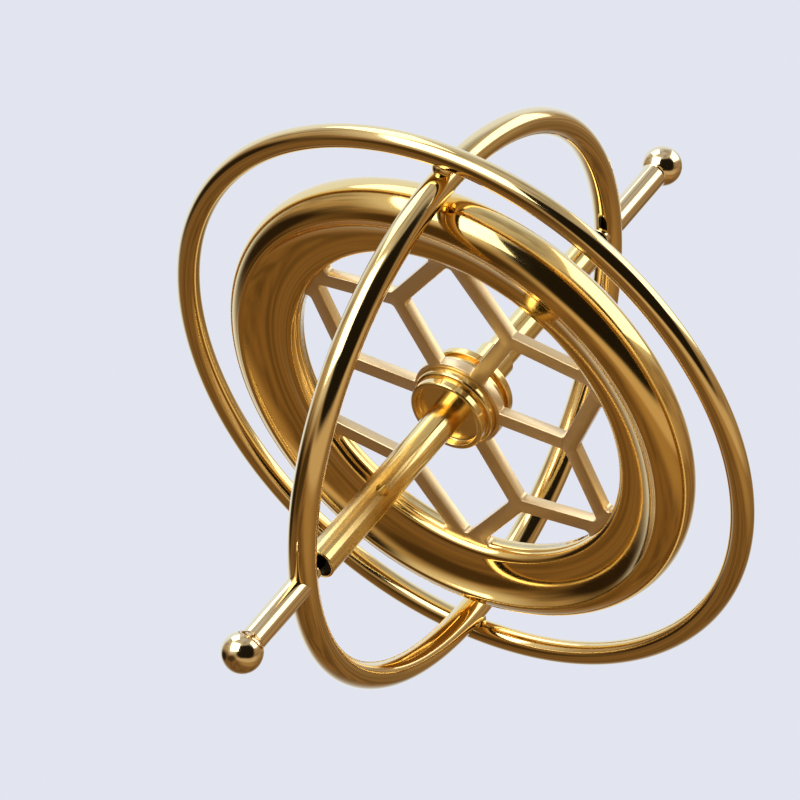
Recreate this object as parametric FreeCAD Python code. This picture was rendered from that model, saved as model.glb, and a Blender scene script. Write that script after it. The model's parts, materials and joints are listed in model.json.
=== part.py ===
import FreeCAD, Part
import math
import os

os.makedirs("parts", exist_ok=True)

# Toy gyroscope: a heavy flywheel on an axle, pivoted inside two wire rings that are brazed together.
# Every piece is drawn about the spin axis (local Z, plus towards the upper tip), with the equatorial
# ring in local XY and the meridian ring in local YZ. It is then laid down in the pose that it takes
# on a table, on its lower ball tip and both rings. Millimetres throughout.

# ---- driving dimensions -------------------------------------------------------------------------
# cage
equator_radius = 33.0            # centre line of the equatorial ring
equator_wire = 2.5               # wire diameters of the two rings
meridian_wire = 3.0
crossing_gap = 0.4               # between the wires where the rings cross, filled with braze
crossing_bead_radius = 1.55      # bead of braze squeezed between the wires where they cross
crossing_bead_height = 2.2
# tips
stub_length = 9.7                # meridian ring's outer face to the centre of a ball
ball_diameter = 4.35
stub_diameter = 2.75
shank_diameter = 2.0             # stub's tail, through the meridian ring
shank_proud = 0.35               # shank beyond the ring's inner face
# pivots
pivot_diameter = 1.0
pivot_clearance = 0.05           # radial, pin in bush
pivot_end_gap = 0.15             # pin's nose to the floor of its bush
pivot_engagement = 2.0           # length of pin inside its bush
pivot_seat_depth = 3.2           # length of pin pressed into its tip
nose_angle = 60.0                # half angle between the pin's nose and its axis
bush_diameter = 3.0
bush_floor = 1.2                 # metal behind the pivot's hole
bush_recess = 0.3                # bush mouth below the end of the axle
# axle
axle_diameter = 3.5
axle_end_gap = 1.3               # end of the axle to the meridian ring's inner face
axle_end_chamfer = 0.12
cord_hole_diameter = 1.4
cord_hole_inset = 10.8           # end of the axle to the pull-cord hole
cord_hole_bearing = -58.0        # the hole's direction about the spin axis, from local X
collar_diameter = 4.2            # sleeve on the axle above the hub
collar_length = 4.3
# hub: a turned spool
hub_wall = 2.85                  # barrel, axle surface outwards
hub_barrel_half = 1.55
hub_barrel_round = 0.4
hub_groove_depth = 0.65
hub_groove_width = 0.35
flange_overhang_low = -0.35      # flange radii, beyond the barrel
flange_overhang_high = 0.1
flange_thickness = 0.9
flange_edge_round = 0.25
cup_lip = 0.55                   # wall round the cupped lower face
cup_depth = 0.85
# web
web_thickness = 1.2
spoke_count = 6
spoke_width = 1.7
spoke_bearing = 30.0             # first spoke, from local Y
fork_setback = 6.1               # from the rim's throat in to where a spoke forks
cell_corner_round = 0.5
web_rim_width = 2.6              # flat band of the web held between the rim halves
# rim, two turned halves that close on the web
rim_gap = 4.45                   # running gap, rim to equatorial ring
rim_depth = 8.0                  # radially, outer wall to throat
throat_round = 0.9
brow_depth = 2.5                 # radially, outer wall in to the ridge
ridge_height = 3.0
ridge_round = 0.25
dish_sag = 0.6                   # hollow of the sloping inner wall

# ---- sizes that follow ---------------------------------------------------------------------------
equator_half = equator_wire / 2
meridian_half = meridian_wire / 2
crossing_radius = equator_radius - equator_half - crossing_gap / 2
meridian_outer = equator_radius - equator_half - crossing_gap
meridian_radius = meridian_outer - meridian_half
meridian_inner = meridian_outer - meridian_wire
tip_reach = meridian_outer + stub_length
ball_radius = ball_diameter / 2
stub_radius = stub_diameter / 2
shank_radius = shank_diameter / 2
shank_end = meridian_inner - shank_proud
axle_radius = axle_diameter / 2
axle_half_length = meridian_inner - axle_end_gap
cord_hole_offset = axle_half_length - cord_hole_inset
pivot_radius = pivot_diameter / 2
pivot_hole_radius = pivot_radius + pivot_clearance
nose_length = pivot_radius / math.tan(math.radians(nose_angle))
bush_radius = bush_diameter / 2
bush_mouth = axle_half_length - bush_recess
pivot_nose_end = bush_mouth - pivot_engagement
bush_hole_floor = pivot_nose_end - pivot_end_gap
bush_inner_end = bush_hole_floor - bush_floor
collar_radius = collar_diameter / 2
hub_radius = axle_radius + hub_wall
hub_groove_radius = hub_radius - hub_groove_depth
hub_groove_end = hub_barrel_half + hub_groove_width
hub_half_length = hub_groove_end + flange_thickness
flange_radius_low = hub_radius + flange_overhang_low
cup_radius = flange_radius_low - cup_lip
flange_radius_high = hub_radius + flange_overhang_high
half_web = web_thickness / 2
half_spoke = spoke_width / 2
rim_radius = equator_radius - equator_half - rim_gap
ridge_radius = rim_radius - brow_depth
throat_radius = rim_radius - rim_depth
web_outer_radius = throat_radius + web_rim_width
fork_radius = throat_radius - fork_setback

V = FreeCAD.Vector
ORIGIN = V(0, 0, 0)
X = V(1, 0, 0)
Z = V(0, 0, 1)


# ---- drawing helpers -----------------------------------------------------------------------------
def at(radius, height):
    """A point of a section, in the plane that is turned about the spin axis."""
    return V(radius, 0, height)


def line(a, b):
    return Part.makeLine(a, b)


def bowed(a, b, sag):
    """An arc from a to b whose middle stands off the chord by sag, to its left."""
    along = b - a
    left = V(-along.z, 0, along.x).normalize()
    middle = (a + b) * 0.5 + left * sag
    return Part.Arc(a, middle, b).toShape()


def turned(edges):
    """The solid that a closed section sweeps in a full turn about the spin axis."""
    face = Part.Face(Part.Wire(edges))
    swept = face.revolve(ORIGIN, Z, 360)
    return Part.makeSolid(swept.Shells[0])


def polygon(points):
    return Part.makePolygon(points + [points[0]]).Edges


def drum(radius, low, high):
    return Part.makeCylinder(radius, high - low, V(0, 0, low), Z)


def flipped(shape):
    """The same piece at the other end of the spin axis."""
    turned_over = shape.copy()
    turned_over.rotate(ORIGIN, X, 180)
    return turned_over


# ---- the cage ------------------------------------------------------------------------------------
def meridian_hoop():
    """The whole meridian ring, before it is drilled for the tips."""
    return Part.makeTorus(meridian_radius, meridian_half, ORIGIN, X)


def meridian_ring(hoop):
    return hoop.cut(drum(shank_radius, -meridian_outer - 1, meridian_outer + 1))


def crossing_braze(hoop, ring, side):
    """Bead of braze that fills the corners where the wires meet: a lens, coped to both of them."""
    low = at(0, -crossing_bead_height / 2)
    high = at(0, crossing_bead_height / 2)
    bead = turned([Part.Arc(low, at(crossing_bead_radius, 0), high).toShape(), line(high, low)])
    bead.rotate(ORIGIN, X, -90 * side)
    bead.translate(V(0, side * crossing_radius, 0))
    return bead.cut(hoop).cut(ring)


def tip(hoop):
    """Upper tip: ball, stub coped to the ring, and a shank that is drilled for the pivot."""
    ball = Part.makeSphere(ball_radius, V(0, 0, tip_reach))
    coped = drum(stub_radius, meridian_radius, tip_reach).fuse(ball).cut(hoop)
    shank = drum(shank_radius, shank_end, meridian_outer + shank_radius)
    seat = drum(pivot_radius, shank_end - 1, shank_end + pivot_seat_depth)
    return coped.fuse(shank).cut(seat).removeSplitter()


def pivot_pin():
    """Hardened pin pressed into the upper tip, with a pointed nose that runs in the bush."""
    shoulder = pivot_nose_end + nose_length
    back = shank_end + pivot_seat_depth
    points = [at(0, pivot_nose_end), at(pivot_radius, shoulder), at(pivot_radius, back), at(0, back)]
    return turned(polygon(points))


# ---- the axle ------------------------------------------------------------------------------------
def axle():
    half = [
        at(bush_radius, bush_inner_end),
        at(bush_radius, axle_half_length),
        at(axle_radius - axle_end_chamfer, axle_half_length),
        at(axle_radius, axle_half_length - axle_end_chamfer),
    ]
    other_half = [at(p.x, -p.z) for p in half]
    points = [at(0, bush_inner_end)] + half + other_half[::-1] + [at(0, -bush_inner_end)]
    bearing = math.radians(cord_hole_bearing)
    across = V(math.cos(bearing), math.sin(bearing), 0)
    start = V(0, 0, -cord_hole_offset) - across * axle_diameter
    hole = Part.makeCylinder(cord_hole_diameter / 2, 2 * axle_diameter, start, across)
    return turned(polygon(points)).cut(hole)


def bearing_bush():
    """Upper bush: a plug in the end of the axle, with a pointed blind hole for the pivot."""
    shoulder = bush_hole_floor + nose_length
    points = [
        at(0, bush_inner_end),
        at(bush_radius, bush_inner_end),
        at(bush_radius, bush_mouth),
        at(pivot_hole_radius, bush_mouth),
        at(pivot_hole_radius, shoulder),
        at(0, bush_hole_floor),
    ]
    return turned(polygon(points))


def collar():
    sleeve = drum(collar_radius, hub_half_length, hub_half_length + collar_length)
    return sleeve.cut(drum(axle_radius, 0, hub_half_length + collar_length + 1))


def hub():
    """Turned spool: a round-edged barrel between two grooves and two flanges, cupped below."""
    low = -hub_half_length
    high = hub_half_length
    points = [
        at(axle_radius, low + cup_depth),
        at(cup_radius, low + cup_depth),
        at(cup_radius, low),
        at(flange_radius_low, low),
        at(flange_radius_low, -hub_groove_end),
        at(hub_groove_radius, -hub_groove_end),
        at(hub_groove_radius, -hub_barrel_half),
        at(hub_radius, -hub_barrel_half),
        at(hub_radius, hub_barrel_half),
        at(hub_groove_radius, hub_barrel_half),
        at(hub_groove_radius, hub_groove_end),
        at(flange_radius_high, hub_groove_end),
        at(flange_radius_high, high),
        at(axle_radius, high),
    ]
    spool = turned(polygon(points))

    def rings_near(radius, heights):
        rings = [e for e in spool.Edges if isinstance(e.Curve, Part.Circle)]
        rings = [e for e in rings if abs(e.Curve.Radius - radius) < 0.01]
        return [e for e in rings if any(abs(e.Curve.Center.z - height) < 0.01 for height in heights)]

    flange_rings = rings_near(flange_radius_low, [low, -hub_groove_end])
    flange_rings += rings_near(flange_radius_high, [hub_groove_end, high])
    spool = spool.makeFillet(flange_edge_round, flange_rings)
    return spool.makeFillet(hub_barrel_round, rings_near(hub_radius, [-hub_barrel_half, hub_barrel_half]))


# ---- the web -------------------------------------------------------------------------------------
def polar(radius, degrees):
    """A point in the plane of the web, by its bearing from local Y."""
    turn = math.radians(degrees)
    return V(-radius * math.sin(turn), radius * math.cos(turn), 0)


def inset(corners, gap):
    """The corners of a convex cell, taken anticlockwise, with every side moved inwards by gap."""
    sides = []
    for a, b in zip(corners, corners[1:] + corners[:1]):
        along = (b - a).normalize()
        sides.append((a + V(-along.y, along.x, 0) * gap, along))
    moved = []
    for (p, d), (q, e) in zip(sides[-1:] + sides[:-1], sides):
        step = ((q.x - p.x) * e.y - (q.y - p.y) * e.x) / (d.x * e.y - d.y * e.x)
        moved.append(p + d * step)
    return moved


def cell(corners, gap):
    """A cutter for one opening of the web, with its corners rounded."""
    points = inset(corners, gap)
    face = Part.Face(Part.makePolygon(points + [points[0]]))
    prism = face.extrude(V(0, 0, 2 * web_thickness))
    prism.translate(V(0, 0, -web_thickness))
    return prism.common(drum(throat_radius, -web_thickness, web_thickness))


def upright(edge):
    return abs(edge.tangentAt(edge.FirstParameter).z) > 0.99


def web():
    """Flat plate cut into spokes that fork, so that neighbouring forks meet in points at the rim."""
    step = 360.0 / spoke_count
    point_radius = throat_radius + half_spoke
    plate = drum(web_outer_radius, -half_web, half_web)
    for i in range(spoke_count):
        bearing = spoke_bearing + i * step
        fork = polar(fork_radius, bearing)
        next_fork = polar(fork_radius, bearing + step)
        point = polar(point_radius, bearing + step / 2)
        last_point = polar(point_radius, bearing - step / 2)
        beyond = polar(2 * point_radius, bearing)
        for cutter in (cell([ORIGIN, fork, point, next_fork], half_spoke),
                       cell([fork, last_point, beyond, point], half_spoke)):
            corners = [e for e in cutter.Edges if upright(e)]
            plate = plate.cut(cutter.makeFillet(cell_corner_round, corners))
    plate = plate.fuse(drum(hub_radius + cell_corner_round, -half_web, half_web)).removeSplitter()
    return plate.cut(drum(hub_radius, -half_web, half_web))


# ---- the rim -------------------------------------------------------------------------------------
def rim_half():
    """Upper half of the rim as one turned section: hollow inner wall, crisp ridge, round outer face. It has
    a pocket for the web's band, and closes on the lower half at a right angle to the joint."""
    throat = at(throat_radius, half_web)
    lip = at(throat_radius + throat_round, half_web + throat_round)
    lip_middle = at(throat_radius + throat_round * 0.22, half_web + throat_round * 0.6)
    crest_in = at(ridge_radius - ridge_round, ridge_height - ridge_round * 0.5)
    crest_out = at(ridge_radius + ridge_round, ridge_height - ridge_round * 0.2)
    # The outer face is an arc centred in the plane of the joint.
    fall = rim_radius - crest_out.x
    brow_radius = (fall ** 2 + crest_out.z ** 2) / (2 * fall)
    half_turn = math.asin(crest_out.z / brow_radius) / 2
    brow_middle = at(rim_radius - brow_radius * (1 - math.cos(half_turn)), brow_radius * math.sin(half_turn))
    return turned([
        Part.Arc(throat, lip_middle, lip).toShape(),
        bowed(lip, crest_in, -dish_sag),
        Part.Arc(crest_in, at(ridge_radius, ridge_height), crest_out).toShape(),
        Part.Arc(crest_out, brow_middle, at(rim_radius, 0)).toShape(),
        line(at(rim_radius, 0), at(web_outer_radius, 0)),
        line(at(web_outer_radius, 0), at(web_outer_radius, half_web)),
        line(at(web_outer_radius, half_web), throat),
    ])


# ---- the pose on a table --------------------------------------------------------------------------
def table_pose():
    """Lays the spin axis down until the lower ball and the equatorial ring touch the table, then rolls
    the gyroscope about it until the meridian ring touches too. The spin centre stays over the origin."""
    reach = math.hypot(tip_reach, equator_radius)
    lean = math.asin((equator_half - ball_radius) / reach) + math.atan2(equator_radius, tip_reach)
    height = equator_radius * math.cos(lean) + equator_half
    # The meridian ring reaches down by its radius times the sine of the angle between its normal and
    # the vertical, and its wire's half width.
    cross = math.sqrt(1 - ((height - meridian_half) / meridian_radius) ** 2)
    along = math.sqrt(math.cos(lean) ** 2 - cross ** 2)
    up = V(-cross, -along, math.sin(lean))
    forward = (Z - up * math.sin(lean)).normalize()
    left = up.cross(forward)
    return FreeCAD.Matrix(
        forward.x, forward.y, forward.z, 0,
        left.x, left.y, left.z, 0,
        up.x, up.y, up.z, height,
        0, 0, 0, 1)


def main():
    hoop = meridian_hoop()
    ring = Part.makeTorus(equator_radius, equator_half, ORIGIN, Z)
    upper_tip = tip(hoop)
    pieces = {
        "equatorial_ring": ring,
        "meridian_ring": meridian_ring(hoop),
        "front_crossing_braze": crossing_braze(hoop, ring, -1),
        "rear_crossing_braze": crossing_braze(hoop, ring, 1),
        "upper_tip": upper_tip,
        "lower_tip": flipped(upper_tip),
        "upper_pivot_pin": pivot_pin(),
        "lower_pivot_pin": flipped(pivot_pin()),
        "axle": axle(),
        "upper_bearing_bush": bearing_bush(),
        "lower_bearing_bush": flipped(bearing_bush()),
        "hub": hub(),
        "axle_collar": collar(),
        "web": web(),
        "lower_rim_half": flipped(rim_half()),
        "upper_rim_half": rim_half(),
    }
    pose = table_pose()
    for name, piece in pieces.items():
        laid = piece.transformed(pose, copy=True)
        laid.exportStep("parts/%s.step" % name)
        print("%-22s solids %d volume %.2f valid %s" % (name, len(laid.Solids), laid.Volume, laid.isValid()))


main()
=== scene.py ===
import bpy
import bmesh
import json
import math
import numpy as np
from mathutils import Matrix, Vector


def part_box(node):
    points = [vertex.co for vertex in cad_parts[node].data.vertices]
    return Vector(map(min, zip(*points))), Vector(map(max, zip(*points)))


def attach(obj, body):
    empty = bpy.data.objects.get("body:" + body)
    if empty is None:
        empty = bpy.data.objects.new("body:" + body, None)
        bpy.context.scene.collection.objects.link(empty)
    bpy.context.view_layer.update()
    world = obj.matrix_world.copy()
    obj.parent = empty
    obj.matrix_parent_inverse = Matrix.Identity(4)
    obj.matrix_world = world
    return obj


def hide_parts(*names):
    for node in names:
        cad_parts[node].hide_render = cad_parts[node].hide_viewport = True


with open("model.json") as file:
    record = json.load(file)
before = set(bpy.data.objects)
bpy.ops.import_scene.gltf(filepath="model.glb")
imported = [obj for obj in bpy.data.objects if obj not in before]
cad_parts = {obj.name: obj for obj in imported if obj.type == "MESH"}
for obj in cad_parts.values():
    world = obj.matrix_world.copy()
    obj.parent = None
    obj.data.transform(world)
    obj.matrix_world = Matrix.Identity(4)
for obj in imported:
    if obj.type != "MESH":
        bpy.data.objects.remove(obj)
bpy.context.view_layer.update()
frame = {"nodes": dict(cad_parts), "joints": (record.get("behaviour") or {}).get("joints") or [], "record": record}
record = frame["record"]
spinJoint = frame["joints"][0]
spinCentre = np.array(spinJoint["pos_m"])
spinAxis = np.array(spinJoint["axis"]) / np.linalg.norm(spinJoint["axis"])
print("loaded", len(frame["nodes"]), "nodes")

# a long lens close to the table, looking slightly up through it
cameraView = {
    "azimuth": -39.65,      # degrees, 0 looks along +Y
    "elevation": -9.16,
    "roll": 7.87,
    "distance": 0.6477,     # metres to the spin centre
    "aside": 0.0112,        # the lens axis passes this far to the left of the centre
    "lens": 286.0,          # mm, as the sensor's width
    "shiftX": 0.0625,       # share of the frame's width
    "sensorWidth": 36.0,
    "clip": (0.01, 20.0),   # metres
}


def cameraAxes(view):
    # right, up and forward of a camera with this azimuth, elevation and roll
    azimuth, elevation, roll = (math.radians(view[key]) for key in ("azimuth", "elevation", "roll"))
    forward = np.array([-math.sin(azimuth) * math.cos(elevation),
                        math.cos(azimuth) * math.cos(elevation), -math.sin(elevation)])
    level = np.cross(forward, [0, 0, 1])
    level /= np.linalg.norm(level)
    upright = np.cross(level, forward)
    up = upright * math.cos(roll) + level * math.sin(roll)
    return np.cross(forward, up), up, forward


def standing(right, up, back, place):
    # matrix of a camera or lamp that stands at place and looks against back
    return Matrix((
        (right[0], up[0], back[0], place[0]),
        (right[1], up[1], back[1], place[1]),
        (right[2], up[2], back[2], place[2]),
        (0, 0, 0, 1)))


viewRight, viewUp, viewForward = cameraAxes(cameraView)
eye = spinCentre - viewForward * cameraView["distance"] - viewRight * cameraView["aside"]
cameraData = bpy.data.cameras.new("camera")
cameraData.lens = cameraView["lens"]
cameraData.sensor_width = cameraView["sensorWidth"]
cameraData.shift_x = cameraView["shiftX"]
cameraData.clip_start, cameraData.clip_end = cameraView["clip"]
camera = bpy.data.objects.new("camera", cameraData)
camera.matrix_world = standing(viewRight, viewUp, -viewForward, eye)
bpy.context.scene.collection.objects.link(camera)
bpy.context.scene.camera = camera
bpy.context.scene.view_settings.view_transform = "Standard"
print("camera at", np.round(eye, 4))


def srgb(code):
    # hex colour to linear RGBA
    channels = [int(code[i:i + 2], 16) / 255 for i in (1, 3, 5)]
    linear = [c / 12.92 if c <= 0.04045 else ((c + 0.055) / 1.055) ** 2.4 for c in channels]
    return (*linear, 1.0)


def addNode(tree, kind, settings=None, **links):
    # one node: settings go to its properties or named sockets; in0, in1 and so on are sockets or values
    node = tree.nodes.new(kind)
    for key, value in (settings or {}).items():
        if hasattr(node, key):
            setattr(node, key, value)
        else:
            node.inputs[key].default_value = value
    for key, value in links.items():
        socket = node.inputs[int(key[2:])]
        if isinstance(value, bpy.types.NodeSocket):
            tree.links.new(value, socket)
        else:
            socket.default_value = value
    return node


def newMaterial(name):
    # a material with its node tree and its shader
    material = bpy.data.materials.new(name)
    material.use_nodes = True
    tree = material.node_tree
    return material, tree, tree.nodes["Principled BSDF"]


# What the metal sees round it: light by direction, linear, 1 being white. Azimuth runs from the middle
# of the view to the right and elevation up from it, in degrees. Half is half the width and height of a
# panel, corner how square it is, 2 being an oval, and edge the softness of its outline as a share of it.
room = {
    "wallColour": "#E2E5EF",
    "heights": ((-90, (0.165, 0.088, 0.032)), (-55, (0.175, 0.096, 0.036)), (-30, (0.21, 0.118, 0.050)),
                (-8, (0.25, 0.158, 0.078)), (10, (0.35, 0.250, 0.155)), (35, (0.43, 0.37, 0.31)),
                (60, (0.42, 0.39, 0.37)), (90, (0.50, 0.49, 0.49))),
    # what stands about, as noise: its size, how much wider than tall it is, its fineness, the part of it
    # that counts, and the least and most light that it leaves
    "shapes": {"size": 2.4, "flatten": 5.0, "detail": 2.5, "mix": 0.55, "range": (0.36, 0.64),
               "light": (0.68, 1.25)},
    "panels": (
        {"name": "pale wall", "azimuth": -12, "elevation": 20, "half": (41, 52), "corner": 2.5,
         "edge": 0.22, "colour": (0.81, 0.92, 1.16)},
        {"name": "doorway", "azimuth": -70, "elevation": -10, "half": (22, 15), "corner": 2,
         "edge": 0.45, "colour": (0.022, 0.013, 0.007)},
        {"name": "warm floor", "azimuth": 135, "elevation": -58, "half": (50, 14), "corner": 2,
         "edge": 0.6, "colour": (0.36, 0.22, 0.09)},
        {"name": "lit table edge", "azimuth": 150, "elevation": -37, "half": (62, 12), "corner": 4,
         "edge": 0.3, "colour": (0.56, 0.41, 0.25)},
        {"name": "glow of the key softbox", "azimuth": -140, "elevation": 27, "half": (36, 32), "corner": 3,
         "edge": 0.22, "colour": (0.66, 0.60, 0.52)},
        {"name": "glow of the right softbox", "azimuth": 81, "elevation": 36, "half": (33, 20), "corner": 3,
         "edge": 0.12, "colour": (0.60, 0.54, 0.46)},
        {"name": "shaded table", "azimuth": -116, "elevation": -26, "half": (25, 13), "corner": 2,
         "edge": 0.40, "colour": (0.06, 0.034, 0.012)},
        {"name": "dark side", "azimuth": 160, "elevation": 5, "half": (48, 34), "corner": 3,
         "edge": 0.12, "colour": (0.012, 0.009, 0.006)},
    ),
}


def compassAxes(azimuth, elevation):
    # across, upward and outward axes of a panel seen in that direction from the object
    a, e = math.radians(azimuth), math.radians(elevation)
    outward = (viewRight * math.sin(a) + viewForward * math.cos(a)) * math.cos(e) + viewUp * math.sin(e)
    across = viewRight * math.cos(a) - viewForward * math.sin(a)
    return across, np.cross(across, outward), outward


def roomHeights(tree, direction):
    # light by elevation: the arcsine of direction . up, from -90 to 90 degrees, through a ramp of heights
    rise = addNode(tree, "ShaderNodeVectorMath", {"operation": "DOT_PRODUCT"},
                   in0=direction, in1=tuple(viewUp))
    angle = addNode(tree, "ShaderNodeMath", {"operation": "ARCSINE"}, in0=rise.outputs["Value"])
    share = addNode(tree, "ShaderNodeMapRange", {"From Min": -math.pi / 2, "From Max": math.pi / 2},
                    in0=angle.outputs[0])
    tones = addNode(tree, "ShaderNodeValToRGB", None, in0=share.outputs[0])
    ramp = tones.color_ramp
    while len(ramp.elements) < len(room["heights"]):
        ramp.elements.new(0.5)
    for stop, (degrees, colour) in zip(ramp.elements, room["heights"]):
        stop.position = (degrees + 90) / 180
        stop.color = (*colour, 1)
    return tones.outputs["Color"]


def roomShapes(tree, direction, seen):
    # blurred shapes: noise over the flattened direction brightens and darkens what is seen
    shapes = room["shapes"]
    spread = addNode(tree, "ShaderNodeVectorMath", {"operation": "MULTIPLY"},
                     in0=direction, in1=(1.0, 1.0, shapes["flatten"]))
    noise = addNode(tree, "ShaderNodeTexNoise",
                    {"Scale": shapes["size"], "Detail": shapes["detail"], "Roughness": shapes["mix"]},
                    in0=spread.outputs[0])
    (start, full), (least, most) = shapes["range"], shapes["light"]
    strength = addNode(tree, "ShaderNodeMapRange",
                       {"interpolation_type": "SMOOTHSTEP", "From Min": start, "From Max": full,
                        "To Min": least, "To Max": most}, in0=noise.outputs["Fac"])
    lit = addNode(tree, "ShaderNodeVectorMath", {"operation": "SCALE"}, in0=seen, in3=strength.outputs[0])
    return lit.outputs[0]


def roomPanel(tree, direction, seen, panel):
    # mask: the corner-th root of |across / sin(half width)|^corner + |upward / sin(half height)|^corner
    # against 1, in front only; the panel's colour covers what is seen where the mask is full
    across, upward, outward = compassAxes(panel["azimuth"], panel["elevation"])
    wide, tall = (math.sin(math.radians(half)) for half in panel["half"])
    x, y, z = (addNode(tree, "ShaderNodeVectorMath", {"operation": "DOT_PRODUCT"},
                       in0=direction, in1=tuple(axis)).outputs["Value"]
               for axis in (across / wide, upward / tall, outward))
    powers = []
    for part in (x, y):
        size = addNode(tree, "ShaderNodeMath", {"operation": "ABSOLUTE"}, in0=part)
        power = addNode(tree, "ShaderNodeMath", {"operation": "POWER"},
                        in0=size.outputs[0], in1=float(panel["corner"]))
        powers.append(power.outputs[0])
    both = addNode(tree, "ShaderNodeMath", {"operation": "ADD"}, in0=powers[0], in1=powers[1])
    far = addNode(tree, "ShaderNodeMath", {"operation": "POWER"}, in0=both.outputs[0],
                  in1=1 / panel["corner"])
    mask = addNode(tree, "ShaderNodeMapRange",
                   {"interpolation_type": "SMOOTHSTEP", "From Min": 1 + panel["edge"],
                    "From Max": 1 - panel["edge"]}, in0=far.outputs[0])
    ahead = addNode(tree, "ShaderNodeMath", {"operation": "GREATER_THAN"}, in0=z, in1=0.0)
    share = addNode(tree, "ShaderNodeMath", {"operation": "MULTIPLY"},
                    in0=mask.outputs[0], in1=ahead.outputs[0])
    mix = addNode(tree, "ShaderNodeMix", {"data_type": "RGBA"},
                  in0=share.outputs[0], in6=seen, in7=(*panel["colour"], 1))
    return mix.outputs[2]


def makeRoom():
    # the camera sees a plain wall, and the metal sees the room
    world = bpy.data.worlds.new("studio")
    world.use_nodes = True
    tree = world.node_tree
    direction = addNode(tree, "ShaderNodeTexCoord").outputs["Generated"]
    seen = roomShapes(tree, direction, roomHeights(tree, direction))
    for panel in room["panels"]:
        seen = roomPanel(tree, direction, seen, panel)
    rays = addNode(tree, "ShaderNodeLightPath")
    plain = addNode(tree, "ShaderNodeMix", {"data_type": "RGBA"},
                    in0=rays.outputs["Is Camera Ray"], in6=seen, in7=srgb(room["wallColour"]))
    tree.links.new(plain.outputs[2], tree.nodes["Background"].inputs["Color"])
    bpy.context.scene.world = world


floorPaint = {
    "colour": "#E2E5EF",
    "roughness": 0.9,
    "size": 3.0,            # metres
    "fade": (0.9, 1.4),     # distances from the middle, in metres, between which it fades into the wall
}


def makeFloor():
    # matt paint seen only from above: from below, and past the fade, the view goes through
    half = floorPaint["size"] / 2
    mesh = bpy.data.meshes.new("floor")
    corners = [(-half, -half, 0), (half, -half, 0), (half, half, 0), (-half, half, 0)]
    mesh.from_pydata(corners, [], [(0, 1, 2, 3)])
    floor = bpy.data.objects.new("floor", mesh)
    bpy.context.scene.collection.objects.link(floor)
    material, tree, shader = newMaterial("pale matt floor paint")
    shader.inputs["Base Color"].default_value = srgb(floorPaint["colour"])
    shader.inputs["Roughness"].default_value = floorPaint["roughness"]
    shader.inputs["Specular IOR Level"].default_value = 0.0
    side = addNode(tree, "ShaderNodeNewGeometry")
    place = addNode(tree, "ShaderNodeTexCoord")
    away = addNode(tree, "ShaderNodeVectorMath", {"operation": "LENGTH"}, in0=place.outputs["Object"])
    start, full = floorPaint["fade"]
    fade = addNode(tree, "ShaderNodeMapRange",
                   {"interpolation_type": "SMOOTHSTEP", "From Min": start, "From Max": full},
                   in0=away.outputs["Value"])
    through = addNode(tree, "ShaderNodeMath", {"operation": "MAXIMUM"}, in0=fade.outputs[0],
                      in1=side.outputs["Backfacing"])
    clear = addNode(tree, "ShaderNodeBsdfTransparent")
    choice = addNode(tree, "ShaderNodeMixShader", None, in0=through.outputs[0], in1=shader.outputs[0],
                     in2=clear.outputs[0])
    tree.links.new(choice.outputs[0], tree.nodes["Material Output"].inputs["Surface"])
    mesh.materials.append(material)
    floor.visible_glossy = False


lamps = {
    # azimuth and elevation as in the room; distance and size in metres; a radiance of 1 is white
    "key softbox": {"azimuth": -140, "elevation": 28, "distance": 2.4, "size": (2.04, 1.86),
                    "radiance": 2.4},
    "overhead softbox": {"azimuth": -85, "elevation": 66, "distance": 2.4, "size": (1.60, 1.30),
                         "radiance": 1.7},
    "right softbox": {"azimuth": 81, "elevation": 36, "distance": 2.4, "size": (2.70, 1.34),
                      "radiance": 1.6},
}


def makeLamps():
    # flat soft lamps that face the object: power = pi x radiance x area
    for name, lamp in lamps.items():
        width, height = lamp["size"]
        data = bpy.data.lights.new(name, "AREA")
        data.shape = "RECTANGLE"
        data.size = width
        data.size_y = height
        data.energy = lamp["radiance"] * math.pi * width * height
        across, upward, outward = compassAxes(lamp["azimuth"], lamp["elevation"])
        place = spinCentre + outward * lamp["distance"]
        light = bpy.data.objects.new(name, data)
        light.matrix_world = standing(-across, upward, outward, place)
        bpy.context.scene.collection.objects.link(light)


makeRoom()
makeFloor()
makeLamps()
print("studio ready")

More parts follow.
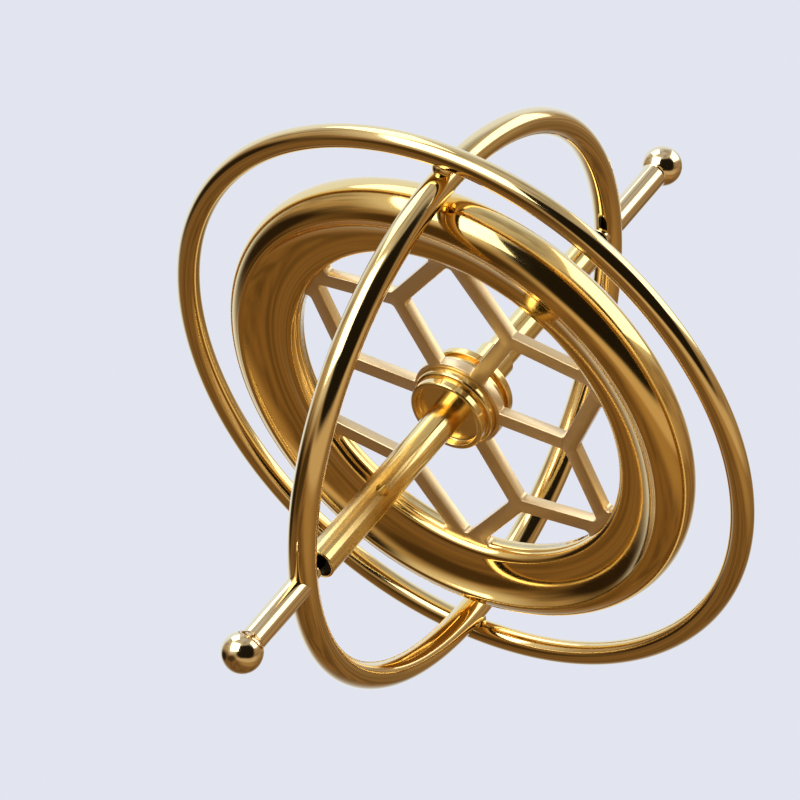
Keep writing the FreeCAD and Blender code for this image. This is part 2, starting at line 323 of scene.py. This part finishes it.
# Colour is the metal's own and roughness the polish. Ripple is the size and height, in mm, of the faint
# unevenness under the plating, haze how much finger marks and wear raise the roughness, and turned how
# strongly fine tool marks round the spin axis, too fine to see, draw reflections out across them.
finishes = {
    # drawn wire, polished before it was plated: long clean lights that waver a little along the ring
    "ring_gold": {"name": "polished gold plate on drawn wire", "colour": "#F9DEA0", "roughness": 0.08,
                  "ripple": (1.6, 0.0012), "haze": 0.05},
    "band_gold": {"name": "polished gold plate on the stout wire", "colour": "#F9DEA0", "roughness": 0.08,
                  "ripple": (1.8, 0.0014), "haze": 0.05},
    # molten metal that set by itself: bright and faintly lumpy
    "braze_gold": {"name": "gold plate over braze", "colour": "#F9DEA0", "roughness": 0.09,
                   "ripple": (0.5, 0.003), "haze": 0.06},
    # handled most, so the palest and a little hazy
    "tip_gold": {"name": "polished gold plate on turned tips", "colour": "#F8E3B6", "roughness": 0.10,
                 "ripple": (1.2, 0.0010), "haze": 0.06},
    # left as they came off the lathe: soft lights with blurred ends
    "axle_gold": {"name": "gold plate on the turned axle", "colour": "#FEE49C", "roughness": 0.13,
                  "ripple": (1.5, 0.0005), "haze": 0.04, "turned": 0.9},
    "hub_gold": {"name": "gold plate on the turned hub", "colour": "#FEE096", "roughness": 0.18,
                 "ripple": (1.2, 0.0008), "haze": 0.05, "turned": 0.7},
    # stamped sheet that nobody polished: satin, without clear reflections
    "web_gold": {"name": "satin gold plate on the stamped web", "colour": "#FDE6BA", "roughness": 0.40,
                 "ripple": (0.8, 0.0020), "haze": 0.08},
    # the showpiece: deep warm gold with broad dark and light bands
    "rim_gold": {"name": "polished gold plate on the turned rim", "colour": "#FCDB90", "roughness": 0.09,
                 "ripple": (2.4, 0.0010), "haze": 0.05, "turned": 0.5},
    # porous and oiled: nearly black in the axle's mouth
    "bush_dark": {"name": "dark sintered bearing metal", "colour": "#1A1714", "roughness": 0.45,
                  "ripple": (0.2, 0.004), "haze": 0.10},
    # ground pins: a small grey glint
    "pivot_steel": {"name": "hardened steel darkened by oil", "colour": "#4A4845", "roughness": 0.20,
                    "ripple": (0.3, 0.001), "haze": 0.05},
}

wear = {
    "patch": 7.0,           # size of a hazy patch, mm
    "detail": 5.0,          # finer layers in the noise, and how much they count
    "mix": 0.6,
    "between": (0.45, 0.75),    # the part of the noise over which the haze comes in
}


def turnedTangent(tree, place, facing):
    # the marks run along axis x (place - centre), and the light stretches along marks x normal: worked
    # out where the piece rests, and then turned with it
    offset = addNode(tree, "ShaderNodeVectorMath", {"operation": "SUBTRACT"},
                     in0=place, in1=tuple(spinCentre))
    marksRun = addNode(tree, "ShaderNodeVectorMath", {"operation": "CROSS_PRODUCT"},
                       in0=tuple(spinAxis), in1=offset.outputs[0])
    across = addNode(tree, "ShaderNodeVectorMath", {"operation": "CROSS_PRODUCT"},
                     in0=marksRun.outputs[0], in1=facing)
    turned = addNode(tree, "ShaderNodeVectorTransform",
                     {"vector_type": "VECTOR", "convert_from": "OBJECT", "convert_to": "WORLD"},
                     in0=across.outputs[0])
    return turned.outputs[0]


def makeFinishes():
    # plated metal: one colour all over, a bump of noise for the ripple, and a wide soft noise that hazes
    # the polish
    made = {}
    start, full = wear["between"]
    for slot, finish in finishes.items():
        material, tree, shader = newMaterial(finish["name"])
        shader.inputs["Base Color"].default_value = srgb(finish["colour"])
        shader.inputs["Metallic"].default_value = 1.0
        coordinates = addNode(tree, "ShaderNodeTexCoord")
        place = coordinates.outputs["Object"]
        size, height = finish["ripple"]
        ripple = addNode(tree, "ShaderNodeTexNoise", {"Scale": 1000 / size, "Detail": 1.0}, in0=place)
        bump = addNode(tree, "ShaderNodeBump", {"Strength": 1.0, "Distance": height / 1000})
        tree.links.new(ripple.outputs["Fac"], bump.inputs["Height"])
        tree.links.new(bump.outputs["Normal"], shader.inputs["Normal"])
        if "turned" in finish:
            shader.inputs["Anisotropic"].default_value = finish["turned"]
            tangent = turnedTangent(tree, place, coordinates.outputs["Normal"])
            tree.links.new(tangent, shader.inputs["Tangent"])
        marks = addNode(tree, "ShaderNodeTexNoise",
                        {"Scale": 1000 / wear["patch"], "Detail": wear["detail"], "Roughness": wear["mix"]},
                        in0=place)
        haze = addNode(tree, "ShaderNodeMapRange",
                       {"From Min": start, "From Max": full, "To Min": finish["roughness"],
                        "To Max": finish["roughness"] + finish["haze"]}, in0=marks.outputs["Fac"])
        tree.links.new(haze.outputs[0], shader.inputs["Roughness"])
        made[slot] = material
    return made


materials = makeFinishes()
slotOf = {part["node"]: part["material_slot"] for part in record["subparts"]}
for nodeName, node in frame["nodes"].items():
    node.data.materials.clear()
    node.data.materials.append(materials[slotOf[nodeName]])
print("finishes on")

bodyOf = {nodeName: body for body, nodeNames in record["behaviour"]["bodies"].items()
          for nodeName in nodeNames}


def boxMiddle(nodeName):
    # middle of a node's box at rest, in metres
    low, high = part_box(nodeName)
    return (np.array(low) + np.array(high)) / 2


# The gyroscope's own axes, as columns: x is square to the meridian ring, y joins the crossings, z is the
# spin axis. Pieces are worked out along them in millimetres and laid down in the frame by toFrame.
crossingLine = boxMiddle("rear_crossing_braze") - boxMiddle("front_crossing_braze")
crossingLine -= spinAxis * (crossingLine @ spinAxis)
crossingLine /= np.linalg.norm(crossingLine)
ownAxes = np.array([np.cross(crossingLine, spinAxis), crossingLine, spinAxis]).T


def toFrame(points):
    # own axes in millimetres to the frame in metres
    return points @ ownAxes.T / 1000 + spinCentre


sharpAngle = 50             # degrees, faces that meet more sharply keep a crisp edge
mergeWithin = 2e-7          # metres, points closer than this are one
ends = (("upper", 1), ("lower", -1))    # sides of the flywheel, with their direction along the spin axis


def makePiece(name, grid, nodes, closedAlong=True):
    # grid[i, j] is a point: i goes round the piece, j runs along its section. Neighbouring points make
    # quads, the last i meets the first, and so does the last j where the section is closed. Points that
    # fall together at a pole are merged, and the faces then point outwards.
    rounds, steps = grid.shape[:2]
    i = np.arange(rounds)[:, None]
    j = np.arange(steps if closedAlong else steps - 1)[None, :]
    nextI, nextJ = (i + 1) % rounds, (j + 1) % steps
    quads = np.stack([i * steps + j, nextI * steps + j,
                      nextI * steps + nextJ, i * steps + nextJ], axis=-1)
    mesh = bpy.data.meshes.new(name)
    mesh.from_pydata(toFrame(grid.reshape(-1, 3)).tolist(), [], quads.reshape(-1, 4).tolist())
    shell = bmesh.new()
    shell.from_mesh(mesh)
    bmesh.ops.remove_doubles(shell, verts=shell.verts, dist=mergeWithin)
    bmesh.ops.recalc_face_normals(shell, faces=shell.faces)
    shell.to_mesh(mesh)
    shell.free()
    mesh.shade_smooth()
    mesh.set_sharp_from_angle(angle=math.radians(sharpAngle))
    slot = slotOf[nodes[0]]
    mesh.materials.append(materials[slot])
    piece = bpy.data.objects.new(name, mesh)
    bpy.context.scene.collection.objects.link(piece)
    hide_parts(*nodes)
    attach(piece, bodyOf[nodes[0]])
    return piece


def rounded(corners, steps=6, support=0.03):
    # an open section through corners (radius, height, rounding). At each inner corner stands an arc of that
    # rounding: its centre is the corner + the unit vector between both sides * rounding / sin(half the
    # angle between them), and it turns through 180 degrees less that angle. One support point just before
    # and after it keeps the flats beside it flat. Sizes are in mm.
    corners = np.array(corners, float)
    points = [corners[0, :2]]
    for before, corner, after in zip(corners, corners[1:], corners[2:]):
        back = before[:2] - corner[:2]
        ahead = after[:2] - corner[:2]
        back /= np.linalg.norm(back)
        ahead /= np.linalg.norm(ahead)
        half = math.acos(np.clip(back @ ahead, -1, 1)) / 2
        reach = corner[2] / math.tan(half)
        middle = (back + ahead) / np.linalg.norm(back + ahead)
        centre = corner[:2] + middle * corner[2] / math.sin(half)
        start = corner[:2] + back * reach - centre
        turn = np.linspace(0, math.pi - 2 * half, steps + 1)
        turn *= np.sign(back[0] * ahead[1] - back[1] * ahead[0]) * -1
        arc = centre + np.stack([start[0] * np.cos(turn) - start[1] * np.sin(turn),
                                 start[0] * np.sin(turn) + start[1] * np.cos(turn)], axis=1)
        points += [corner[:2] + back * (reach + support), *arc, corner[:2] + ahead * (reach + support)]
    points.append(corners[-1, :2])
    return np.array(points)


def arcThrough(first, middle, last, steps):
    # circle arc through three points of a section: its centre is where their perpendicular bisectors meet
    (ax, ay), (bx, by), (cx, cy) = first, middle, last
    double = 2 * (ax * (by - cy) + bx * (cy - ay) + cx * (ay - by))
    a, b, c = ax * ax + ay * ay, bx * bx + by * by, cx * cx + cy * cy
    centre = np.array([(a * (by - cy) + b * (cy - ay) + c * (ay - by)) / double,
                       (a * (cx - bx) + b * (ax - cx) + c * (bx - ax)) / double])
    angles = [math.atan2(p[1] - centre[1], p[0] - centre[0]) for p in (first, middle, last)]
    unwrapped = np.unwrap(angles)
    turn = np.linspace(unwrapped[0], unwrapped[2], steps + 1)
    radius = math.hypot(ax - centre[0], ay - centre[1])
    return centre + radius * np.stack([np.cos(turn), np.sin(turn)], axis=1)


def turnedGrid(section, rounds):
    # lathe: x = radius cos(turn), y = radius sin(turn), z = height
    turn = np.linspace(0, 2 * math.pi, rounds, endpoint=False)[:, None]
    radius, height = section[:, 0], section[:, 1]
    return np.stack([radius * np.cos(turn), radius * np.sin(turn), height + 0 * turn], axis=-1)


rings = {
    "equatorRadius": 33.0,  # centre lines and wires, mm
    "equatorWire": 2.5,
    "meridianRadius": 29.85,
    "meridianWire": 3.0,
    "equatorPhase": 0.0,    # radians, so that the two don't waver alike
    "meridianPhase": 1.3,
    "bendWaves": ((2, 0.05, 0.4), (5, 0.02, 2.1), (9, 0.008, 4.0)),  # waves a turn, height in mm, phase
    "rounds": 720,          # points along the ring, and round its wire
    "sectionSteps": 48,
}


def hoopGrid(radius, wire, phase):
    # torus whose centre line wavers as hand-bent wire does: centre radius = radius + sum of
    # height sin(count turn + phases), point = (centre radius + wire / 2 cos(about)) outwards and
    # wire / 2 sin(about) along the ring's axis
    turn = np.linspace(0, 2 * math.pi, rings["rounds"], endpoint=False)[:, None]
    about = np.linspace(0, 2 * math.pi, rings["sectionSteps"], endpoint=False)[None, :]
    waver = sum(height * np.sin(count * turn + shift + phase)
                for count, height, shift in rings["bendWaves"])
    outward = radius + waver + wire / 2 * np.cos(about)
    along = wire / 2 * np.sin(about) + 0 * turn
    return np.stack([outward * np.cos(turn), outward * np.sin(turn), along], axis=-1)


equatorGrid = hoopGrid(rings["equatorRadius"], rings["equatorWire"], rings["equatorPhase"])
makePiece("equatorial_hoop", equatorGrid, ["equatorial_ring"])
meridianGrid = hoopGrid(rings["meridianRadius"], rings["meridianWire"], rings["meridianPhase"])
# the meridian ring's axis is the first of the own axes
makePiece("meridian_hoop", meridianGrid[..., (2, 0, 1)], ["meridian_ring"])
print("rings bent")

bead = {
    "radius": 1.2,          # mm
    "height": 2.0,
    "place": 31.55,         # from the spin centre, along the crossing line
    "arcSteps": 24,
    "rounds": 64,
}


def beadGrid(side):
    # lens turned about the crossing line: its section is the arc through both poles and the waist
    half = bead["height"] / 2
    arc = arcThrough((0, -half), (bead["radius"], 0), (0, half), bead["arcSteps"])
    grid = turnedGrid(arc, bead["rounds"])[..., (0, 2, 1)]
    return grid + (0, side * bead["place"], 0)


makePiece("front_crossing_bead", beadGrid(-1), ["front_crossing_braze"], closedAlong=False)
makePiece("rear_crossing_bead", beadGrid(1), ["rear_crossing_braze"], closedAlong=False)
print("crossings brazed")

rim = {
    "outer": 27.3,          # radii and heights, mm, from the plane of the web
    "ridge": 24.8,
    "ridgeHeight": 3.0,
    "ridgeRound": 0.25,
    "ridgeDrop": (0.5, 0.2),    # its inner and outer ends lie this much lower, as shares of ridgeRound
    "throat": 19.3,
    "throatHeight": 0.6,
    "throatRound": 0.9,
    "throatBulge": (0.22, 0.6),     # where its arc passes, outwards and up, as shares of throatRound
    "dishSag": 0.6,
    "bandRadius": 21.9,
    "supports": (0.5, 0.1, 0.3),    # outer edge, band and throat to a point beside them
    "lastTurns": (0.03, 0.006),     # radians, the brow's last rows above the seam
    "steps": {"throat": 10, "dish": 32, "ridge": 8, "brow": 32},
    "rounds": 480,
}


def rimSection():
    # closed section of the upper half: rounded throat, hollow dish, narrow ridge, round brow whose arc is
    # centred in the plane of the seam, and the flat faces that close it
    steps = rim["steps"]
    bulgeOut, bulgeUp = rim["throatBulge"]
    dropIn, dropOut = rim["ridgeDrop"]
    throatRound, ridge, ridgeTop, ridgeRound = (rim[key] for key in (
        "throatRound", "ridge", "ridgeHeight", "ridgeRound"))
    throat = (rim["throat"], rim["throatHeight"])
    lip = (rim["throat"] + throatRound, rim["throatHeight"] + throatRound)
    lipMiddle = (rim["throat"] + throatRound * bulgeOut, rim["throatHeight"] + throatRound * bulgeUp)
    crestIn = np.array([ridge - ridgeRound, ridgeTop - ridgeRound * dropIn])
    crestOut = np.array([ridge + ridgeRound, ridgeTop - ridgeRound * dropOut])
    chord = crestIn - lip
    sagTowards = np.array([chord[1], -chord[0]]) / np.linalg.norm(chord)
    dishMiddle = (lip + crestIn) / 2 + sagTowards * rim["dishSag"]
    fall = rim["outer"] - crestOut[0]
    browRadius = (fall ** 2 + crestOut[1] ** 2) / (2 * fall)
    nearSeam, atSeam = rim["lastTurns"]
    turn = np.linspace(math.asin(crestOut[1] / browRadius), nearSeam, steps["brow"])
    turn = np.append(turn, (atSeam, 0))
    brow = np.stack([rim["outer"] - browRadius * (1 - np.cos(turn)), browRadius * np.sin(turn)], axis=1)
    besideEdge, besideBand, besideThroat = rim["supports"]
    closing = np.array([
        (rim["outer"] - besideEdge, 0), (rim["bandRadius"] + besideBand, 0),
        (rim["bandRadius"], 0), (rim["bandRadius"], rim["throatHeight"]),
        (rim["throat"] + besideThroat, rim["throatHeight"])])
    return np.concatenate([
        arcThrough(throat, lipMiddle, lip, steps["throat"]),
        arcThrough(lip, dishMiddle, crestIn, steps["dish"])[1:],
        arcThrough(crestIn, (ridge, ridgeTop), crestOut, steps["ridge"])[1:],
        brow[1:], closing])


for side, end in ends:
    makePiece(side + "_rim", turnedGrid(rimSection() * (1, end), rim["rounds"]), [side + "_rim_half"])
print("rim turned")

tips = {
    "reach": 41.05,         # spin centre to the middle of a ball, mm
    "ballRadius": 2.175,
    "neckRound": 0.25,
    "stubRadius": 1.375,
    "stubFoot": 29.85,      # the stub runs into the ring's wire to here
    "shankRadius": 1.0,
    "shankEnd": 28.0,
    "edgeRound": 0.12,
    "seatRadius": 0.5,
    "seatEnd": 31.2,
    "seatRound": 0.05,
    "innerRound": 0.02,
    "neckSteps": 8,
    "ballSteps": 64,
    "rounds": 96,
}


def tipSection():
    # open section from the bottom of the pivot's seat round the shank and stub to the ball's far pole. The
    # neck is an arc tangent to stub and ball: its centre is neckRound off the stub, and ballRadius +
    # neckRound from the ball's middle.
    radius, reach, stub, shank = tips["ballRadius"], tips["reach"], tips["stubRadius"], tips["shankRadius"]
    out = stub + tips["neckRound"]
    drop = math.sqrt((radius + tips["neckRound"]) ** 2 - out ** 2)
    lean = math.atan2(drop, out)
    turn = np.linspace(0, lean, tips["neckSteps"] + 1)
    neck = np.stack([out - tips["neckRound"] * np.cos(turn),
                     reach - drop + tips["neckRound"] * np.sin(turn)], axis=1)
    sweep = np.linspace(-lean, math.pi / 2, tips["ballSteps"] + 1)
    ball = np.stack([radius * np.cos(sweep), reach + radius * np.sin(sweep)], axis=1)
    ball[-1, 0] = 0
    inner = tips["innerRound"]
    foot = rounded([
        (0, tips["seatEnd"], 0), (tips["seatRadius"], tips["seatEnd"], inner),
        (tips["seatRadius"], tips["shankEnd"], tips["seatRound"]),
        (shank, tips["shankEnd"], tips["edgeRound"]), (shank, tips["stubFoot"], inner),
        (stub, tips["stubFoot"], inner), (stub, neck[0, 1] - inner, 0)])
    return np.concatenate([foot, neck, ball[1:]])


pivots = {
    "radius": 0.5,          # mm
    "noseEnd": 24.75,
    "noseLength": 0.29,
    "back": 31.15,
    "edgeRound": 0.03,
    "rounds": 48,
}


def pivotSection():
    # open section of a pin: cone of the nose, shank and flat back
    radius, edge = pivots["radius"], pivots["edgeRound"]
    return rounded([(0, pivots["noseEnd"], 0), (radius, pivots["noseEnd"] + pivots["noseLength"], edge),
                    (radius, pivots["back"], edge), (0, pivots["back"], 0)])


for side, end in ends:
    makePiece(side + "_ball_tip", turnedGrid(tipSection() * (1, end), tips["rounds"]), [side + "_tip"],
              closedAlong=False)
    makePiece(side + "_pivot", turnedGrid(pivotSection() * (1, end), pivots["rounds"]),
              [side + "_pivot_pin"], closedAlong=False)
print("tips and pivots turned")

axle = {
    "radius": 1.75,         # mm
    "halfLength": 27.05,
    "endRound": 0.12,
    "endStretch": 1.0,      # plain length that belongs to each end's section
    "boreRadius": 1.5,
    "boreEnd": 23.4,
    "boreFloorRound": 0.02,
    "boreMouthRound": 0.05,
    "holeRadius": 0.7,
    "holeOffset": 16.25,
    "holeBearing": -58.0,   # degrees from the first own axis towards the second
    "holeRows": (1.2, 25),  # close rows at the cord hole: how far they reach each way, and their count
    "cutterReach": 3.0,
    "cutterSides": 64,
    "creaseAngle": 40,      # degrees, in place of sharpAngle once the hole is cut
    "rounds": 192,
}


def axleSection():
    # open section from the floor of one end's bore over the outside to the floor of the other; the rows
    # round the cord hole are set close, so that the hole's edge stays clean
    length, bore, radius = axle["halfLength"], axle["boreRadius"], axle["radius"]
    lower = rounded([
        (0, -axle["boreEnd"], 0), (bore, -axle["boreEnd"], axle["boreFloorRound"]),
        (bore, -length, axle["boreMouthRound"]), (radius, -length, axle["endRound"]),
        (radius, -length + axle["endStretch"], 0)])
    reach, count = axle["holeRows"]
    rows = np.linspace(-axle["holeOffset"] - reach, -axle["holeOffset"] + reach, count)
    near = np.stack([0 * rows + radius, rows], axis=1)
    upper = (lower * (1, -1))[::-1]
    return np.concatenate([lower, near, upper])


def cutCordHole(piece):
    # a round cutter across the axle at the hole's bearing, taken away with the exact solver
    bearing = math.radians(axle["holeBearing"])
    across = np.array([math.cos(bearing), math.sin(bearing), 0])
    beside = np.array([-math.sin(bearing), math.cos(bearing), 0])
    upright = np.array([0, 0, 1])
    turn = np.linspace(0, 2 * math.pi, axle["cutterSides"], endpoint=False)[:, None]
    ring = axle["holeRadius"] * (np.cos(turn) * beside + np.sin(turn) * upright)
    ring = ring - axle["holeOffset"] * upright
    corners = np.concatenate([ring - across * axle["cutterReach"], ring + across * axle["cutterReach"]])
    count = len(turn)
    sides = [(i, (i + 1) % count, (i + 1) % count + count, i + count) for i in range(count)]
    caps = [tuple(range(count))[::-1], tuple(range(count, 2 * count))]
    cutterMesh = bpy.data.meshes.new("cutter")
    cutterMesh.from_pydata(toFrame(corners).tolist(), [], sides + caps)
    cutter = bpy.data.objects.new("cutter", cutterMesh)
    bpy.context.scene.collection.objects.link(cutter)
    hole = piece.modifiers.new("hole", "BOOLEAN")
    hole.object = cutter
    hole.solver = "EXACT"
    bpy.context.view_layer.update()
    cutMesh = bpy.data.meshes.new_from_object(piece.evaluated_get(bpy.context.evaluated_depsgraph_get()))
    piece.modifiers.clear()
    piece.data = cutMesh
    bpy.data.objects.remove(cutter)
    cutMesh.shade_smooth()
    cutMesh.set_sharp_from_angle(angle=math.radians(axle["creaseAngle"]))


cutCordHole(makePiece("axle_rod", turnedGrid(axleSection(), axle["rounds"]), ["axle"], closedAlong=False))
print("axle turned and drilled")

bushes = {
    "radius": 1.5,          # mm
    "mouth": 26.75,
    "innerEnd": 23.4,
    "holeRadius": 0.55,
    "holeFloor": 24.6,
    "noseLength": 0.29,
    "edgeRound": 0.06,
    "innerRound": 0.03,
    "rounds": 96,
}


def bushSection():
    # open section of a bush: inner end, outside, mouth, and a blind hole with a pointed floor
    radius, hole, mouth, floor = (bushes[key] for key in ("radius", "holeRadius", "mouth", "holeFloor"))
    edge, inner = bushes["edgeRound"], bushes["innerRound"]
    return rounded([
        (0, bushes["innerEnd"], 0), (radius, bushes["innerEnd"], inner), (radius, mouth, edge),
        (hole, mouth, edge), (hole, floor + bushes["noseLength"], inner), (0, floor, 0)])


for side, end in ends:
    makePiece(side + "_bush", turnedGrid(bushSection() * (1, end), bushes["rounds"]),
              [side + "_bearing_bush"], closedAlong=False)
print("bushes pressed in")

seamSupport = 0.1           # mm between the last point of a closed section and its first

hub = {
    "bore": 1.75,           # radii and heights, mm
    "boreRound": 0.03,
    "barrel": 4.6,
    "barrelHalf": 1.55,
    "barrelRound": 0.4,
    "groove": 3.95,
    "grooveEnd": 1.9,
    "grooveRound": 0.06,
    "lowFlange": 4.25,
    "highFlange": 4.7,
    "flangeRound": 0.25,
    "halfLength": 2.8,
    "edgeRound": 0.12,
    "cup": 3.7,
    "cupDepth": 0.85,
    "cupRound": 0.25,
    "roundSteps": 8,
    "rounds": 192,
}


def hubSection():
    # closed section: bore, cupped lower face, lower flange, groove, barrel, groove, upper flange
    low, high = -hub["halfLength"], hub["halfLength"]
    floor, barrelEnd, grooveEnd = low + hub["cupDepth"], hub["barrelHalf"], hub["grooveEnd"]
    bore, cup, groove, barrel = hub["bore"], hub["cup"], hub["groove"], hub["barrel"]
    lowFlange, highFlange = hub["lowFlange"], hub["highFlange"]
    boreRound, edge, inner = hub["boreRound"], hub["edgeRound"], hub["grooveRound"]
    corners = [
        (bore, 0, 0), (bore, floor, boreRound), (cup, floor, hub["cupRound"]), (cup, low, edge),
        (lowFlange, low, hub["flangeRound"]), (lowFlange, -grooveEnd, edge), (groove, -grooveEnd, inner),
        (groove, -barrelEnd, inner), (barrel, -barrelEnd, hub["barrelRound"]),
        (barrel, barrelEnd, hub["barrelRound"]), (groove, barrelEnd, inner),
        (groove, grooveEnd, inner), (highFlange, grooveEnd, edge),
        (highFlange, high, hub["flangeRound"]), (bore, high, boreRound), (bore, seamSupport, 0)]
    return rounded(corners, steps=hub["roundSteps"])


makePiece("hub_spool", turnedGrid(hubSection(), hub["rounds"]), ["hub"])

collar = {
    "bore": 1.75,           # mm
    "radius": 2.1,
    "start": 2.8,
    "end": 7.1,
    "edgeRound": 0.12,
    "boreRound": 0.03,
    "footRound": 0.02,
    "seam": 1.0,            # where its section begins and ends, above the foot
    "rounds": 128,
}


def collarSection():
    # closed section of a plain sleeve: bore, foot against the hub, outside, top
    bore, radius, start, top = (collar[key] for key in ("bore", "radius", "start", "end"))
    foot, seam = collar["footRound"], start + collar["seam"]
    return rounded([(bore, seam, 0), (bore, start, foot), (radius, start, foot),
                    (radius, top, collar["edgeRound"]), (bore, top, collar["boreRound"]),
                    (bore, seam + seamSupport, 0)])


makePiece("axle_sleeve", turnedGrid(collarSection(), collar["rounds"]), ["axle_collar"])
print("hub and sleeve turned")

web = {
    "edgeRound": 0.14,      # worn edge of the stamping, mm
    "edgeSteps": 3,
    "throat": 19.3,         # from here out the rim holds it: it stays square and is polished with the rim
    "margin": 0.05,         # edges and faces this much within the throat count as held
    "mergeWithin": 1e-6,    # metres, points of the plate closer than this are one
}


def spinRadii(points):
    # distance from the spin axis in mm: the part of the offset that isn't along the axis
    offset = points - spinCentre
    offset = offset - np.outer(offset @ spinAxis, spinAxis)
    return np.linalg.norm(offset, axis=1) * 1000


def makeWeb():
    # a merged copy of the plate with the sharp edges of its spokes rounded by a weighted bevel
    held = web["throat"] - web["margin"]
    mesh = frame["nodes"]["web"].data.copy()
    mesh.name = "spoke_web"
    shell = bmesh.new()
    shell.from_mesh(mesh)
    bmesh.ops.remove_doubles(shell, verts=shell.verts, dist=web["mergeWithin"])
    weight = shell.edges.layers.float.new("bevel_weight_edge")
    middles = np.array([(edge.verts[0].co + edge.verts[1].co) / 2 for edge in shell.edges])
    angles = np.array([edge.calc_face_angle(0) for edge in shell.edges])
    worn = (angles > math.radians(sharpAngle)) & (spinRadii(middles) < held)
    for edge, share in zip(shell.edges, worn.astype(float).tolist()):
        edge[weight] = share
    shell.to_mesh(mesh)
    shell.free()
    piece = bpy.data.objects.new("spoke_web", mesh)
    bpy.context.scene.collection.objects.link(piece)
    mesh.shade_smooth()
    bevel = piece.modifiers.new("edge", "BEVEL")
    bevel.width = web["edgeRound"] / 1000
    bevel.segments = web["edgeSteps"]
    bevel.limit_method = "WEIGHT"
    bevel.harden_normals = True
    # faces whose every corner lies in the rim's throat take the rim's polish
    places = np.empty(len(mesh.vertices) * 3)
    mesh.vertices.foreach_get("co", places)
    radii = spinRadii(places.reshape(-1, 3))
    cornerPoints = np.empty(len(mesh.loops), np.int32)
    mesh.loops.foreach_get("vertex_index", cornerPoints)
    firstCorners = np.empty(len(mesh.polygons), np.int32)
    mesh.polygons.foreach_get("loop_start", firstCorners)
    inThroat = np.minimum.reduceat(radii[cornerPoints], firstCorners) > held
    mesh.materials.append(materials[slotOf["upper_rim_half"]])
    mesh.polygons.foreach_set("material_index", inThroat.astype(np.int32))
    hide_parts("web")
    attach(piece, bodyOf["web"])


makeWeb()
print("web stamped")
